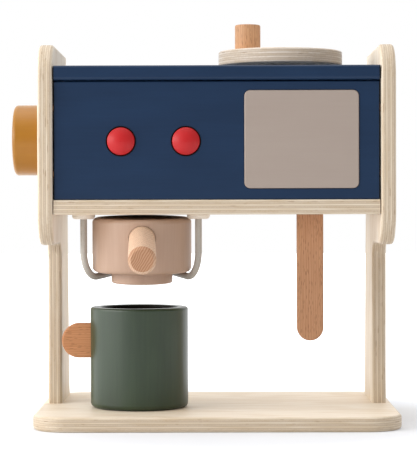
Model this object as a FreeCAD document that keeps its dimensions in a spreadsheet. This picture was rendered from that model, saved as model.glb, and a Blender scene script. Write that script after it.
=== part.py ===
import FreeCAD, Part
import math
import os
import Sketcher

# Toy coffee maker in wood. Millimetres, +X right, +Y back, +Z up.
# The origin is the middle of the base board's underside.

Vector = FreeCAD.Vector
Rotation = FreeCAD.Rotation
Placement = FreeCAD.Placement

SIZES = {
    # plywood boards
    "ply": 9.0,
    "edge_round": 2.0,
    # base board beyond the side panels
    "base_side": 3.8,
    "base_front": 12.0,
    "base_rear": 11.0,
    "base_corner": 22.0,
    # side panels: an upper lobe on a rear leg, with a rear edge that leans forward
    "inner_width": 199.4,
    "panel_depth": 132.0,
    "leg_depth": 63.0,
    "lobe_depth": 109.5,
    "panel_rise": 13.9,
    "lobe_drop": 18.7,
    "lobe_round": 22.0,
    "rear_round": 2.5,
    "notch_round": 10.0,
    # box between the side panels, set back from their front edges
    "board_gap": 0.6,
    "face_round": 1.0,
    "shelf_setback": 2.0,
    "shelf_round": 1.0,
    "face_setback": 3.5,
    "lid_seam": 0.6,
    "lid_setback": 1.5,
    "back_setback": 3.5,
    "back_thickness": 5.0,
    # dowels and screws; a bite is the length of screw in the second piece
    "dowel_diameter": 5.0,
    "dowel_in_panel": 6.0,
    "dowel_in_board": 12.0,
    "dowel_spacing": 70.0,
    "face_dowel_spacing": 40.0,
    "glue_gap": 0.1,
    "screw_diameter": 3.5,
    "screw_head": 7.0,
    "screw_sink": 0.3,
    "base_screw_spacing": 32.0,
    "leg_bite": 21.0,
    "small_screw": 3.0,
    "small_head": 6.0,
    "edge_bite": 10.0,
    "face_bite": 5.0,
    "pilot_spare": 1.0,
    "back_screw_spacing": 150.0,
    # screen plate, with the front panel's margins round it
    "screen_width": 69.5,
    "screen_height": 59.5,
    "screen_corner": 3.6,
    "screen_sill": 6.85,
    "screen_head": 5.65,
    "screen_side": 13.4,
    "screen_thickness": 3.0,
    "screen_proud": 1.0,
    "screen_rim": 0.7,
    "inlay_gap": 0.3,
    # push buttons
    "button_diameter": 16.8,
    "button_clear": 0.6,
    "button_side": 41.55,
    "button_spacing": 39.5,
    "button_height": 35.6,
    "button_dome": 3.0,
    "button_travel": 3.0,
    "button_lip": 1.0,
    "flange_lip": 2.0,
    "flange_thickness": 3.0,
    "flange_clear": 0.5,
    "stem_diameter": 7.0,
    "stem_inset": 2.0,
    "stem_fit": 0.06,
    "spring_bore_depth": 19.0,
    "housing_depth": 28.0,
    "housing_wall": 6.5,
    "housing_screw_spacing": 22.0,
    "spring_wire": 0.9,
    "spring_diameter": 12.0,
    "spring_turns": 6.0,
    # running gaps and shaft fits
    "face_gap": 0.3,
    "shaft_fit": 0.06,
    "bolt_diameter": 6.0,
    "nut_flats": 10.0,
    "nut_thickness": 5.0,
    "washer_diameter": 14.0,
    "washer_thickness": 1.2,
    "bolt_end": 2.0,
    # dial on the left side
    "dial_diameter": 44.4,
    "dial_thickness": 17.3,
    "dial_round": 2.5,
    "dial_back_round": 0.75,
    "dial_standoff": 1.5,
    "dial_back": 53.0,
    "dial_height": 38.0,
    "dial_socket": 12.0,
    "spacer_diameter": 24.0,
    # turning disc on the lid, with its crank knob
    "disc_diameter": 78.3,
    "disc_thickness": 9.0,
    "disc_round": 1.0,
    "disc_lift": 3.0,
    "disc_side": 59.2,
    "disc_back": 54.0,
    "disc_spacer_diameter": 34.0,
    "bolt_head": 15.0,
    "bolt_head_height": 3.0,
    "bolt_head_side": 1.0,
    "bolt_head_gap": 0.5,
    "bolt_head_sink": 0.3,
    "crank_diameter": 16.0,
    "crank_height": 16.0,
    "crank_socket": 5.0,
    "crank_round": 1.0,
    "crank_radius": 23.9,
    "crank_angle": 209.4,
    # portafilter
    "filter_diameter": 61.7,
    "filter_height": 33.7,
    "filter_headroom": 1.75,
    "filter_round": 3.0,
    "filter_top_round": 3.0,
    "filter_turn": 2.3,
    "filter_lean": 3.0,
    "spout_diameter": 38.0,
    "spout_height": 7.0,
    "spout_round": 1.0,
    "handle_diameter": 16.2,
    "handle_reach": 107.0,
    "handle_below": 11.85,
    "handle_tilt": 4.9,
    "handle_socket": 20.0,
    "handle_gap": 0.3,
    "handle_chamfer": 1.6,
    # bent wire cradle
    "wire_diameter": 4.2,
    "wire_fit": 0.1,
    "wire_bend": 16.0,
    "wire_end": 3.0,
    "stem_clear": 2.45,
    "stem_wall": 3.05,
    "stem_forward": 14.0,
    "ring_radius": 22.0,
    "ring_back": 10.0,
    "arm_slope": 5.2,
    "arm_touch": 24.0,
    "collar_diameter": 14.1,
    "collar_height": 2.8,
    "collar_round": 2.0,
    "push_nut_diameter": 11.0,
    "push_nut_height": 0.8,
    "push_nut_clear": 3.5,
    # wand
    "wand_width": 16.4,
    "wand_thickness": 8.0,
    "wand_drop": 78.5,
    "wand_round": 1.5,
    "wand_swing": 15.0,
    "wand_side": 41.9,
    "pivot_height": 10.0,
    "pin_diameter": 4.0,
    "slot_gap": 0.5,
    "cheek_thickness": 6.0,
    "cheek_width": 18.0,
    "bracket_foot": 4.0,
    "bracket_ear": 9.0,
    "bracket_clear": 7.5,
    # cup, under the portafilter
    "cup_left": 2.4,
    "cup_back": 15.0,
    "cup_headroom": 15.85,
    "cup_diameter": 61.6,
    "cup_height": 63.2,
    "cup_seat": 0.2,
    "cup_wall": 7.0,
    "cup_floor": 8.0,
    "cup_rim_round": 1.6,
    "cup_foot_round": 3.0,
    "tab_height": 21.8,
    "tab_thickness": 8.0,
    "tab_reach": 18.1,
    "tab_level": 42.0,
    "tab_socket": 4.0,
    "tab_round": 1.2,
}

# Shares of a screw head's diameter: its rise, and its cross recess
HEAD_RISE = 0.25
RECESS_ARM = 0.3
RECESS_WEB = 0.08
RECESS_DEPTH = 0.2

# Two lengths closer than this count as the same
SAME = 0.01

doc = FreeCAD.newDocument("toy_coffee_maker")
sheet = doc.addObject("Spreadsheet::Sheet", "sizes")
for row, (name, number) in enumerate(SIZES.items(), start=1):
    sheet.set(f"A{row}", name)
    sheet.set(f"B{row}", str(number))
    sheet.setAlias(f"B{row}", name)
doc.recompute()

sheet_reader = doc.addObject("App::FeaturePython", "sheet_reader")
nodes = {}
normal_sign = {}
PLANE_SIGN = {"XY": 1, "XZ": -1, "YZ": 1}
HALF_ROUND = "half round"


# Helpers for values, bodies, sketches and features

def value(expression):
    return float(sheet_reader.evalExpression(str(expression)))


def new_body(label):
    body = doc.addObject("PartDesign::Body", label)
    body.Label = label
    return body


def keep(part):
    nodes[part.Label] = part
    return part


def place(part, x="0", y="0", z="0", rotation=Rotation()):
    part.Placement = Placement(Vector(value(x), value(y), value(z)), rotation)
    part.setExpression("Placement.Base.x", x)
    part.setExpression("Placement.Base.y", y)
    part.setExpression("Placement.Base.z", z)
    return part


def sketch_on(body, plane, level="0"):
    sketch = body.newObject("Sketcher::SketchObject", "sketch")
    features = body.Origin.OriginFeatures
    origin_plane = next(item for item in features if item.Role == plane + "_Plane")
    sketch.AttachmentSupport = [(origin_plane, "")]
    sketch.MapMode = "FlatFace"
    sign = PLANE_SIGN[plane]
    sketch.setExpression("AttachmentOffset.Base.z", level if sign > 0 else f"-({level})")
    normal_sign[sketch.Name] = sign
    return sketch


def dimension(sketch, kind, geometry, expression):
    constraint = Sketcher.Constraint(kind, *geometry, value(expression))
    index = sketch.addConstraint(constraint)
    sketch.setExpression(f"Constraints[{index}]", str(expression))


def locate(sketch, geometry, x, y):
    dimension(sketch, "DistanceX", (-1, 1, *geometry), x)
    dimension(sketch, "DistanceY", (-1, 1, *geometry), y)


def circle(sketch, x, y, diameter):
    centre = Vector(value(x), value(y), 0)
    ring = Part.Circle(centre, Vector(0, 0, 1), value(diameter) / 2)
    index = sketch.addGeometry(ring, False)
    dimension(sketch, "Diameter", (index,), diameter)
    locate(sketch, (index, 3), x, y)


def arc_between(start, end, radius):
    # counter-clockwise arc, the short way round
    middle = (start + end) * 0.5
    chord = end - start
    rise = math.sqrt(max(radius ** 2 - (chord.Length / 2) ** 2, 0))
    across = Vector(-chord.y, chord.x, 0)
    across.normalize()
    centre = middle + across * rise
    first = math.atan2(start.y - centre.y, start.x - centre.x)
    last = math.atan2(end.y - centre.y, end.x - centre.x)
    return Part.ArcOfCircle(Part.Circle(centre, Vector(0, 0, 1), radius), first, last)


def profile(sketch, points):
    # closed outline; a third item is the radius of the arc that leads to the next point,
    # or HALF_ROUND for a semicircle
    corners = [Vector(value(point[0]), value(point[1]), 0) for point in points]
    count = len(points)
    for index, point in enumerate(points):
        start = corners[index]
        end = corners[(index + 1) % count]
        if len(point) == 2:
            sketch.addGeometry(Part.LineSegment(start, end), False)
        elif point[2] == HALF_ROUND:
            sketch.addGeometry(arc_between(start, end, (end - start).Length / 2), False)
        else:
            sketch.addGeometry(arc_between(start, end, value(point[2])), False)
    for index in range(count):
        after = (index + 1) % count
        sketch.addConstraint(Sketcher.Constraint("Coincident", index, 2, after, 1))
    for index, point in enumerate(points):
        locate(sketch, (index, 1), point[0], point[1])
        if len(point) == 2:
            continue
        if point[2] != HALF_ROUND:
            dimension(sketch, "Radius", (index,), point[2])
        elif near(corners[index].y, corners[(index + 1) % count].y):
            dimension(sketch, "DistanceY", (-1, 1, index, 3), point[1])
        else:
            dimension(sketch, "DistanceX", (-1, 1, index, 3), point[0])


def rectangle(sketch, left, right, low, high):
    profile(sketch, [(left, low), (right, low), (right, high), (left, high)])


def rounded_rectangle(sketch, x, y, width, height, radius):
    start = sketch.GeometryCount
    turn = math.pi / 2
    half_width = f"(({width}) / 2 - ({radius}))"
    half_height = f"(({height}) / 2 - ({radius}))"
    signs = [(1, 1), (-1, 1), (-1, -1), (1, -1)]
    centres = [(f"{x} + {sx} * {half_width}", f"{y} + {sy} * {half_height}") for sx, sy in signs]
    round_value = value(radius)
    spots = [Vector(value(cx), value(cy), 0) for cx, cy in centres]
    for index, spot in enumerate(spots):
        ring = Part.Circle(spot, Vector(0, 0, 1), round_value)
        sketch.addGeometry(Part.ArcOfCircle(ring, index * turn, (index + 1) * turn), False)
    for index, spot in enumerate(spots):
        after = spots[(index + 1) % 4]
        angle = (index + 1) * turn
        shift = Vector(math.cos(angle), math.sin(angle), 0) * round_value
        sketch.addGeometry(Part.LineSegment(spot + shift, after + shift), False)
    for index in range(4):
        arc = start + index
        line = start + 4 + index
        next_arc = start + (index + 1) % 4
        sketch.addConstraint(Sketcher.Constraint("Tangent", arc, 2, line, 1))
        sketch.addConstraint(Sketcher.Constraint("Tangent", line, 2, next_arc, 1))
        if index:
            sketch.addConstraint(Sketcher.Constraint("Equal", start, arc))
    dimension(sketch, "Radius", (start,), radius)
    for index, (cx, cy) in enumerate(centres):
        locate(sketch, (start + index, 3), cx, cy)


def owner(sketch):
    return sketch.getParentGeoFeatureGroup()


def pad(sketch, length, toward=1, both_ways=False):
    feature = owner(sketch).newObject("PartDesign::Pad", "pad")
    feature.Profile = sketch
    feature.setExpression("Length", length)
    feature.Midplane = both_ways
    feature.Reversed = toward != normal_sign[sketch.Name]
    doc.recompute()
    return feature


def pocket(sketch, depth=None, toward=1):
    body = owner(sketch)
    before = body.Tip.Shape.Volume
    feature = body.newObject("PartDesign::Pocket", "pocket")
    feature.Profile = sketch
    if depth is None:
        feature.Type = "ThroughAll"
        feature.Midplane = True
    else:
        feature.setExpression("Length", depth)
        feature.Reversed = toward == normal_sign[sketch.Name]
    doc.recompute()
    if feature.Shape.Volume > before - SAME ** 3:
        raise RuntimeError(f"a pocket in {body.Label} cuts nothing")
    return feature


def revolve(sketch):
    feature = owner(sketch).newObject("PartDesign::Revolution", "revolution")
    feature.Profile = sketch
    feature.ReferenceAxis = (sketch, ["V_Axis"])
    feature.Angle = 360
    doc.recompute()
    return feature


def round_edges(body, test, radius, kind="Fillet"):
    base = body.Tip
    numbered = enumerate(base.Shape.Edges, start=1)
    names = [f"Edge{number}" for number, edge in numbered if not edge.Degenerated and test(edge)]
    if not names:
        raise RuntimeError(f"no edge of {body.Label} to round")
    feature = body.newObject(f"PartDesign::{kind}", kind.lower())
    feature.Base = (base, names)
    feature.setExpression("Radius" if kind == "Fillet" else "Size", radius)
    doc.recompute()
    return feature


def near(first, second):
    return abs(first - second) < SAME


def spans(edge):
    box = edge.BoundBox
    return {"x": box.XLength, "y": box.YLength, "z": box.ZLength}


def square_to(edge, axis):
    # the edge lies in a plane square to the axis
    return near(spans(edge)[axis], 0)


def along(edge, axis):
    # the edge is a straight line along the axis
    return all(near(length, 0) for way, length in spans(edge).items() if way != axis)


def ring_edges(radius, level):
    # round edges of a turned piece at one radius and one height
    def test(edge):
        if not isinstance(edge.Curve, Part.Circle):
            return False
        level_value = value(level)
        box = edge.BoundBox
        at_level = near(box.ZMin, level_value) and near(box.ZMax, level_value)
        return at_level and near(edge.Curve.Radius, value(radius))
    return test


def corner_edges(y, levels):
    # straight edges along x at one y and the given heights
    def test(edge):
        box = edge.BoundBox
        at_level = any(near(box.ZMin, value(level)) for level in levels)
        return along(edge, "x") and near(box.YMin, value(y)) and at_level
    return test


def drill(body, plane, level, spots, diameter, depth=None, toward=1):
    sketch = sketch_on(body, plane, level)
    for x, y in spots:
        circle(sketch, x, y, diameter)
    return pocket(sketch, depth, toward)


def turned(label, points):
    body = new_body(label)
    sketch = sketch_on(body, "XZ")
    profile(sketch, points)
    revolve(sketch)
    return body


def grouped(label, items):
    group = doc.addObject("Part::Compound", label)
    group.Label = label
    group.Links = items
    doc.recompute()
    return keep(group)


# Places that several pieces share, first from side to side and from front to back

INNER = "(sizes.inner_width / 2)"
BOARD_END = f"({INNER} - sizes.board_gap)"
BASE_LENGTH = "(sizes.inner_width + 2 * (sizes.ply + sizes.base_side))"
BASE_DEPTH = "(sizes.base_front + sizes.panel_depth + sizes.base_rear)"
PANEL_REAR = f"({BASE_DEPTH} / 2 - sizes.base_rear)"
PANEL_FRONT = f"({PANEL_REAR} - sizes.panel_depth)"
LEG_FRONT = f"({PANEL_REAR} - sizes.leg_depth)"
LEG_MIDDLE = f"({PANEL_REAR} - sizes.leg_depth / 2)"
LOBE_REAR = f"({PANEL_FRONT} + sizes.lobe_depth)"
SHELF_FRONT = f"({PANEL_FRONT} + sizes.shelf_setback)"
LID_FRONT = f"({PANEL_FRONT} + sizes.lid_setback)"
FACE_FRONT = f"({PANEL_FRONT} + sizes.face_setback)"
FACE_REAR = f"({FACE_FRONT} + sizes.ply)"
BOX_REAR = f"({LOBE_REAR} - sizes.back_setback - sizes.back_thickness)"
SHELF_MIDDLE = f"(({SHELF_FRONT} + {BOX_REAR}) / 2)"
LID_MIDDLE = f"(({LID_FRONT} + {BOX_REAR}) / 2)"

# Heights, from the base board up through the cup and the portafilter to the box

CUP_SEAT = "(sizes.ply + sizes.cup_seat)"
SPOUT_BOTTOM = f"({CUP_SEAT} + sizes.cup_height + sizes.cup_headroom)"
FILTER_BOTTOM = f"({SPOUT_BOTTOM} + sizes.spout_height)"
SHELF_BOTTOM = f"({FILTER_BOTTOM} + sizes.filter_height + sizes.filter_headroom)"
SHELF_TOP = f"({SHELF_BOTTOM} + sizes.ply)"
FACE_TOP = f"({SHELF_TOP} + sizes.screen_sill + sizes.screen_height + sizes.screen_head)"
LID_BOTTOM = f"({FACE_TOP} + sizes.lid_seam)"
LID_TOP = f"({LID_BOTTOM} + sizes.ply)"
PANEL_TOP = f"({LID_TOP} + sizes.panel_rise)"
LOBE_BOTTOM = f"({SHELF_BOTTOM} - sizes.lobe_drop)"
SCREEN_LEVEL = f"({SHELF_TOP} + sizes.screen_sill + sizes.screen_height / 2)"
BUTTON_LEVEL = f"({SHELF_TOP} + sizes.button_height)"
DIAL_LEVEL = f"({SHELF_TOP} + sizes.dial_height)"

# Holes: a glued piece, a turning shaft and the two kinds of screw

HALF_PLY = "(sizes.ply / 2)"
DOWEL_HOLE = "(sizes.dowel_diameter + 2 * sizes.glue_gap)"
SCREW_HOLE = "(sizes.screw_diameter + 2 * sizes.glue_gap)"
SMALL_HOLE = "(sizes.small_screw + 2 * sizes.glue_gap)"
THREAD_BORE = "(sizes.bolt_diameter + 2 * sizes.glue_gap)"
SHAFT_BORE = "(sizes.bolt_diameter + 2 * sizes.shaft_fit)"

# The dowels of one side, as (y, z), by the board that they enter

SHELF_DOWELS = [
    (f"{SHELF_MIDDLE} + {side} * sizes.dowel_spacing / 2", f"{SHELF_BOTTOM} + {HALF_PLY}")
    for side in (-1, 1)
]
LID_DOWELS = [
    (f"{LID_MIDDLE} + {side} * sizes.dowel_spacing / 2", f"{LID_BOTTOM} + {HALF_PLY}")
    for side in (-1, 1)
]
FACE_MIDDLE = f"(({SHELF_TOP} + {FACE_TOP}) / 2)"
FACE_DOWELS = [
    (f"{FACE_FRONT} + {HALF_PLY}", f"{FACE_MIDDLE} + {side} * sizes.face_dowel_spacing / 2")
    for side in (-1, 1)
]
BASE_SCREWS = [
    (f"{x} * ({INNER} + {HALF_PLY})", f"{LEG_MIDDLE} + {y} * sizes.base_screw_spacing / 2")
    for x in (-1, 1)
    for y in (-1, 1)
]
SHELF_BACK_SCREWS = [
    (f"{side} * sizes.back_screw_spacing / 2", f"{SHELF_BOTTOM} + {HALF_PLY}")
    for side in (-1, 1)
]
LID_BACK_SCREWS = [
    (f"{side} * sizes.back_screw_spacing / 2", f"{LID_BOTTOM} + {HALF_PLY}")
    for side in (-1, 1)
]


# Places of what hangs on the box

DIAL_Y = f"({PANEL_FRONT} + sizes.dial_back)"
DISC_X = f"({INNER} - sizes.disc_side)"
DISC_Y = f"({LID_FRONT} + sizes.disc_back)"
SCREEN_X = f"({INNER} - sizes.screen_side - sizes.screen_width / 2)"

BUTTON_HOLE = "(sizes.button_diameter + 2 * sizes.button_clear)"
FLANGE = f"({BUTTON_HOLE} + 2 * sizes.flange_lip)"
SPRING_BORE = f"({FLANGE} + 2 * sizes.flange_clear)"
BUTTONS = {
    "button_left": f"(-{INNER} + sizes.button_side)",
    "button_right": f"(-{INNER} + sizes.button_side + sizes.button_spacing)",
}
BUTTON_MIDDLE = f"(-{INNER} + sizes.button_side + sizes.button_spacing / 2)"
# a pressed button stays proud by its lip
BUTTON_PROUD = "(sizes.button_travel + sizes.button_lip)"
HOUSING_SCREWS = [
    (BUTTON_MIDDLE, f"{BUTTON_LEVEL} + {side} * sizes.housing_screw_spacing / 2")
    for side in (-1, 1)
]

# The cradle's stems stand clear of the portafilter, of the left dowels and of the front panel
STEM_SPACING = "(sizes.filter_diameter + sizes.wire_diameter + 2 * sizes.stem_clear)"
WIRE_HOLE = "(sizes.wire_diameter + 2 * sizes.wire_fit)"
DOWEL_END = f"(-{INNER} + sizes.dowel_in_board + sizes.face_gap)"
FILTER_X = f"({DOWEL_END} + sizes.stem_wall + {WIRE_HOLE} / 2 + {STEM_SPACING} / 2)"
STEM_Y = f"({FACE_REAR} + sizes.push_nut_clear + sizes.push_nut_diameter / 2)"
FILTER_Y = f"({STEM_Y} + sizes.stem_forward)"
STEMS = [(f"{FILTER_X} + {side} * {STEM_SPACING} / 2", STEM_Y) for side in (-1, 1)]

# The wand hangs through a slot that is wide enough for its swing
SWING_REACH = "(sizes.pivot_height + sizes.ply) * tan(sizes.wand_swing)"
SLOT_HALF = f"(sizes.wand_width / 2 / cos(sizes.wand_swing) + {SWING_REACH} + sizes.slot_gap)"
SLOT_DEPTH = "(sizes.wand_thickness / 2 + sizes.slot_gap)"
BRACKET_DEPTH = f"({SLOT_DEPTH} + sizes.cheek_thickness)"
WAND_X = f"({INNER} - sizes.wand_side)"
WAND_Y = f"({FACE_REAR} + sizes.bracket_clear + {BRACKET_DEPTH})"
PIVOT_LEVEL = f"({SHELF_TOP} + sizes.pivot_height)"
EAR_SHIFT = f"({SLOT_HALF} + sizes.bracket_ear / 2)"
BRACKET_SCREWS = [(f"{WAND_X} + {side} * {EAR_SHIFT}", WAND_Y) for side in (-1, 1)]


# Base board

def make_base_board():
    body = new_body("base_board")
    sketch = sketch_on(body, "XY")
    rounded_rectangle(sketch, "0", "0", BASE_LENGTH, BASE_DEPTH, "sizes.base_corner")
    pad(sketch, "sizes.ply")
    round_edges(body, lambda edge: square_to(edge, "z"), "sizes.edge_round")
    drill(body, "XY", "0", BASE_SCREWS, SCREW_HOLE)
    sink = f"((sizes.screw_head - {SCREW_HOLE}) / 2 + sizes.screw_sink)"
    round_edges(body, ring_edges(f"{SCREW_HOLE} / 2", "0"), sink, "Chamfer")
    return keep(body)


# Side panels

def make_side_panel(label, side):
    body = new_body(label)
    sketch = sketch_on(body, "YZ")
    profile(sketch, [
        (LEG_FRONT, "sizes.ply"),
        (PANEL_REAR, "sizes.ply"),
        (LOBE_REAR, PANEL_TOP),
        (PANEL_FRONT, PANEL_TOP),
        (PANEL_FRONT, LOBE_BOTTOM),
        (LEG_FRONT, LOBE_BOTTOM),
    ])
    pad(sketch, "sizes.ply")
    foot = value("sizes.ply")
    round_edges(body, corner_edges(PANEL_FRONT, [LOBE_BOTTOM, PANEL_TOP]), "sizes.lobe_round")
    round_edges(body, corner_edges(LOBE_REAR, [PANEL_TOP]), "sizes.rear_round")
    round_edges(body, corner_edges(LEG_FRONT, [LOBE_BOTTOM]), "sizes.notch_round")
    round_edges(
        body, lambda edge: square_to(edge, "x") and not near(edge.BoundBox.ZMax, foot),
        "sizes.edge_round")
    inner_face = "sizes.ply" if side < 0 else "0"
    depth = "sizes.dowel_in_panel + sizes.face_gap"
    dowels = SHELF_DOWELS + LID_DOWELS + FACE_DOWELS
    drill(body, "YZ", inner_face, dowels, DOWEL_HOLE, depth, toward=side)
    pilots = [(HALF_PLY, y) for x, y in BASE_SCREWS[:2]]
    drill(body, "XY", "sizes.ply", pilots, SCREW_HOLE, "sizes.leg_bite + sizes.pilot_spare")
    if side < 0:
        drill(body, "YZ", "0", [(DIAL_Y, DIAL_LEVEL)], SHAFT_BORE)
    x = f"-{INNER} - sizes.ply" if side < 0 else INNER
    return keep(place(body, x=x))



# Boards of the box

def end_holes(body, spots):
    for side in (-1, 1):
        depth = "sizes.dowel_in_board + sizes.face_gap"
        drill(body, "YZ", f"{side} * {INNER}", spots, DOWEL_HOLE, depth, toward=-side)


def rear_pilots(body, spots):
    depth = "sizes.edge_bite + sizes.pilot_spare"
    drill(body, "XZ", BOX_REAR, spots, SMALL_HOLE, depth, toward=-1)


def round_front_edges(body, front, radius):
    front_value = value(front)
    round_edges(body, lambda edge: along(edge, "x") and near(edge.BoundBox.YMin, front_value), radius)


def make_shelf_board():
    body = new_body("shelf_board")
    sketch = sketch_on(body, "XY", SHELF_BOTTOM)
    rectangle(sketch, f"-{BOARD_END}", BOARD_END, SHELF_FRONT, BOX_REAR)
    pad(sketch, "sizes.ply")
    round_front_edges(body, SHELF_FRONT, "sizes.shelf_round")
    drill(body, "XY", SHELF_BOTTOM, STEMS, WIRE_HOLE)
    slot = sketch_on(body, "XY", SHELF_BOTTOM)
    rectangle(
        slot, f"{WAND_X} - {SLOT_HALF}", f"{WAND_X} + {SLOT_HALF}",
        f"{WAND_Y} - {SLOT_DEPTH}", f"{WAND_Y} + {SLOT_DEPTH}")
    pocket(slot)
    end_holes(body, SHELF_DOWELS)
    rear_pilots(body, SHELF_BACK_SCREWS)
    depth = "sizes.face_bite + sizes.pilot_spare"
    drill(body, "XY", SHELF_TOP, BRACKET_SCREWS, SMALL_HOLE, depth, toward=-1)
    return keep(body)


def make_front_panel():
    body = new_body("front_panel")
    sketch = sketch_on(body, "XZ", FACE_FRONT)
    rectangle(sketch, f"-{BOARD_END}", BOARD_END, SHELF_TOP, FACE_TOP)
    pad(sketch, "sizes.ply")
    front_value = value(FACE_FRONT)
    round_edges(body, lambda edge: near(edge.BoundBox.YMax, front_value), "sizes.face_round")
    holes = [(x, BUTTON_LEVEL) for x in BUTTONS.values()]
    drill(body, "XZ", FACE_FRONT, holes, BUTTON_HOLE)
    recess = sketch_on(body, "XZ", FACE_FRONT)
    width = "(sizes.screen_width + 2 * sizes.inlay_gap)"
    height = "(sizes.screen_height + 2 * sizes.inlay_gap)"
    corner = "(sizes.screen_corner + sizes.inlay_gap)"
    rounded_rectangle(recess, SCREEN_X, SCREEN_LEVEL, width, height, corner)
    pocket(recess, "sizes.screen_thickness - sizes.screen_proud")
    depth = "sizes.face_bite + sizes.pilot_spare"
    drill(body, "XZ", FACE_REAR, HOUSING_SCREWS, SMALL_HOLE, depth, toward=-1)
    end_holes(body, FACE_DOWELS)
    return keep(body)


def make_top_board():
    body = new_body("top_board")
    sketch = sketch_on(body, "XY", LID_BOTTOM)
    rectangle(sketch, f"-{BOARD_END}", BOARD_END, LID_FRONT, BOX_REAR)
    pad(sketch, "sizes.ply")
    round_front_edges(body, LID_FRONT, "sizes.edge_round")
    drill(body, "XY", LID_BOTTOM, [(DISC_X, DISC_Y)], SHAFT_BORE)
    end_holes(body, LID_DOWELS)
    rear_pilots(body, LID_BACK_SCREWS)
    return keep(body)


def make_back_panel():
    body = new_body("back_panel")
    sketch = sketch_on(body, "XZ", BOX_REAR)
    rectangle(sketch, f"-{BOARD_END}", BOARD_END, SHELF_BOTTOM, LID_TOP)
    pad(sketch, "sizes.back_thickness")
    drill(body, "XZ", BOX_REAR, SHELF_BACK_SCREWS + LID_BACK_SCREWS, SMALL_HOLE)
    return keep(body)


def make_screen_plate():
    body = new_body("screen_plate")
    front = f"({FACE_FRONT} - sizes.screen_proud)"
    sketch = sketch_on(body, "XZ", front)
    rounded_rectangle(
        sketch, SCREEN_X, SCREEN_LEVEL,
        "sizes.screen_width", "sizes.screen_height", "sizes.screen_corner")
    pad(sketch, "sizes.screen_thickness")
    front_value = value(front)
    round_edges(body, lambda edge: near(edge.BoundBox.YMax, front_value), "sizes.screen_rim")
    return keep(body)


# Dowels and screws

def make_panel_dowels():
    dowels = []
    for side in (-1, 1):
        inside, outside = ("board", "panel") if side > 0 else ("panel", "board")
        start = f"{side} * {INNER} - sizes.dowel_in_{inside}"
        for y, z in SHELF_DOWELS + LID_DOWELS + FACE_DOWELS:
            dowel = doc.addObject("Part::Cylinder", "dowel")
            dowel.setExpression("Radius", "sizes.dowel_diameter / 2")
            dowel.setExpression("Height", f"sizes.dowel_in_{inside} + sizes.dowel_in_{outside}")
            place(dowel, start, y, z, Rotation(Vector(0, 1, 0), 90))
            dowels.append(dowel)
    return grouped("panel_dowels", dowels)


def cross_recess(body, head, top):
    sketch = sketch_on(body, "XY", top)
    arm = f"(({head}) * {RECESS_ARM})"
    web = f"(({head}) * {RECESS_WEB})"
    profile(sketch, [
        (arm, f"-{web}"), (arm, web), (web, web), (web, arm), (f"-{web}", arm), (f"-{web}", web),
        (f"-{arm}", web), (f"-{arm}", f"-{web}"), (f"-{web}", f"-{web}"), (f"-{web}", f"-{arm}"),
        (web, f"-{arm}"), (web, f"-{web}"),
    ])
    pocket(sketch, f"({head}) * {RECESS_DEPTH}", toward=-1)


def sunk_screw(label, shank, head, length):
    # countersunk head with its top at z = 0, and the point at -length
    flare = f"(({head} - {shank}) / 2)"
    body = turned(label, [
        ("0", f"-({length})"),
        (f"{shank} / 2", f"-({length}) + {shank}"),
        (f"{shank} / 2", f"-{flare}"),
        (f"{head} / 2", "0"),
        ("0", "0"),
    ])
    cross_recess(body, head, "0")
    return body


def pan_screw(label, shank, head, length):
    # rounded head that stands on z = 0
    rise = f"({head} * {HEAD_RISE})"
    crown = f"((({head} / 2) ^ 2 + ({rise} / 2) ^ 2) / {rise})"
    body = turned(label, [
        ("0", f"-({length})"),
        (f"{shank} / 2", f"-({length}) + {shank}"),
        (f"{shank} / 2", "0"),
        (f"{head} / 2", "0"),
        (f"{head} / 2", f"{rise} / 2", crown),
        ("0", rise),
    ])
    cross_recess(body, head, rise)
    return body


def small_pan_screw(label, length):
    return pan_screw(label, "sizes.small_screw", "sizes.small_head", length)


def make_base_screws():
    upward = Rotation(Vector(1, 0, 0), 180)
    screws = []
    for x, y in BASE_SCREWS:
        length = "sizes.ply + sizes.leg_bite"
        screw = sunk_screw("base_screw", "sizes.screw_diameter", "sizes.screw_head", length)
        screws.append(place(screw, x, y, "sizes.screw_sink", upward))
    return grouped("base_screws", screws)


def make_back_panel_screws():
    forward = Rotation(Vector(1, 0, 0), -90)
    screws = []
    for x, z in SHELF_BACK_SCREWS + LID_BACK_SCREWS:
        screw = small_pan_screw("back_screw", "sizes.back_thickness + sizes.edge_bite")
        screws.append(place(screw, x, f"{BOX_REAR} + sizes.back_thickness", z, forward))
    return grouped("back_panel_screws", screws)


# Push buttons, their housing and springs. Local z points out of the front, z = 0 on the panel

FLANGE_FRONT = "(-sizes.ply - sizes.face_gap)"
FLANGE_REAR = f"({FLANGE_FRONT} - sizes.flange_thickness)"


def place_button(body, x):
    return place(body, x, FACE_FRONT, BUTTON_LEVEL, Rotation(Vector(1, 0, 0), 90))


def make_button(label, x):
    cap = "(sizes.button_diameter / 2)"
    tail = "(-sizes.ply - sizes.housing_depth + sizes.stem_inset)"
    shoulder = f"({BUTTON_PROUD} - sizes.button_dome)"
    dome = f"({cap} ^ 2 + sizes.button_dome ^ 2) / (2 * sizes.button_dome)"
    body = turned(label, [
        ("0", tail),
        ("sizes.stem_diameter / 2", tail),
        ("sizes.stem_diameter / 2", FLANGE_REAR),
        (f"{FLANGE} / 2", FLANGE_REAR),
        (f"{FLANGE} / 2", FLANGE_FRONT),
        (cap, FLANGE_FRONT),
        (cap, shoulder, dome),
        ("0", BUTTON_PROUD),
    ])
    round_edges(body, ring_edges(cap, shoulder), "sizes.button_dome / 4")
    return keep(place_button(body, x))


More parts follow.
